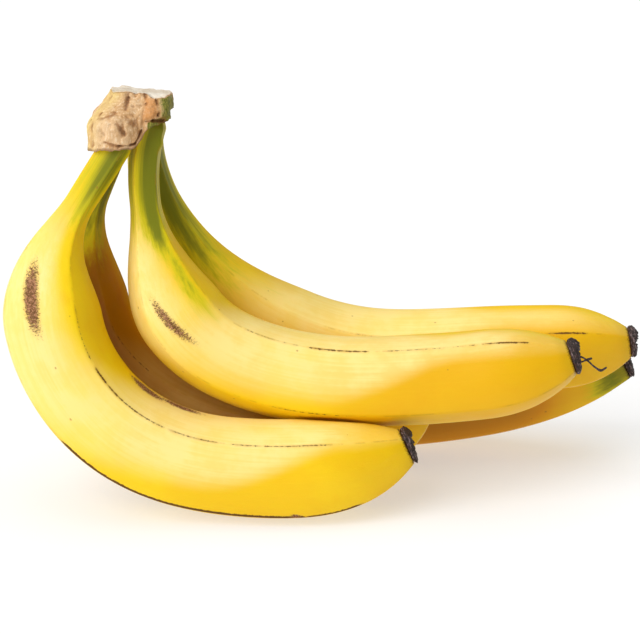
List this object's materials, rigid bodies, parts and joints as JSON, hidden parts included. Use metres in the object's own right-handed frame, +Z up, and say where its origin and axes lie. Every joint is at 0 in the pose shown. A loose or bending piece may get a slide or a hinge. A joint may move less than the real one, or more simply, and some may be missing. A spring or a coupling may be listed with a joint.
{
  "type": "hand of bananas",
  "caption": "Hand of ripe bananas joined at a cut crown, resting upright on the bellies of its lower fingers.",
  "frame": {"origin": "under the middle of the hand's box, on the surface that it rests on", "axes": "+X runs from the crown's side towards the blossom ends, +Y goes from the front finger to the back one, +Z is up"},
  "size_m": [0.2446, 0.1114, 0.1566],
  "materials": {
    "banana_skin": "waxy peel, soft sheen, yellow with green necks and brown scuffs",
    "crown_tissue": "dry corky cut stump, tan with brown pits",
    "dried_blossom": "dry, ragged, nearly black"
  },
  "bodies": {
    "root": {"banana_front_low": "banana_skin", "banana_middle_low": "banana_skin", "banana_back_low": "banana_skin", "banana_front_high": "banana_skin", "banana_back_high": "banana_skin", "crown": "crown_tissue", "blossom_end_front_low": "dried_blossom", "blossom_end_middle_low": "dried_blossom", "blossom_end_back_low": "dried_blossom", "blossom_end_front_high": "dried_blossom", "blossom_end_back_high": "dried_blossom"}
  },
  "joints": []
}
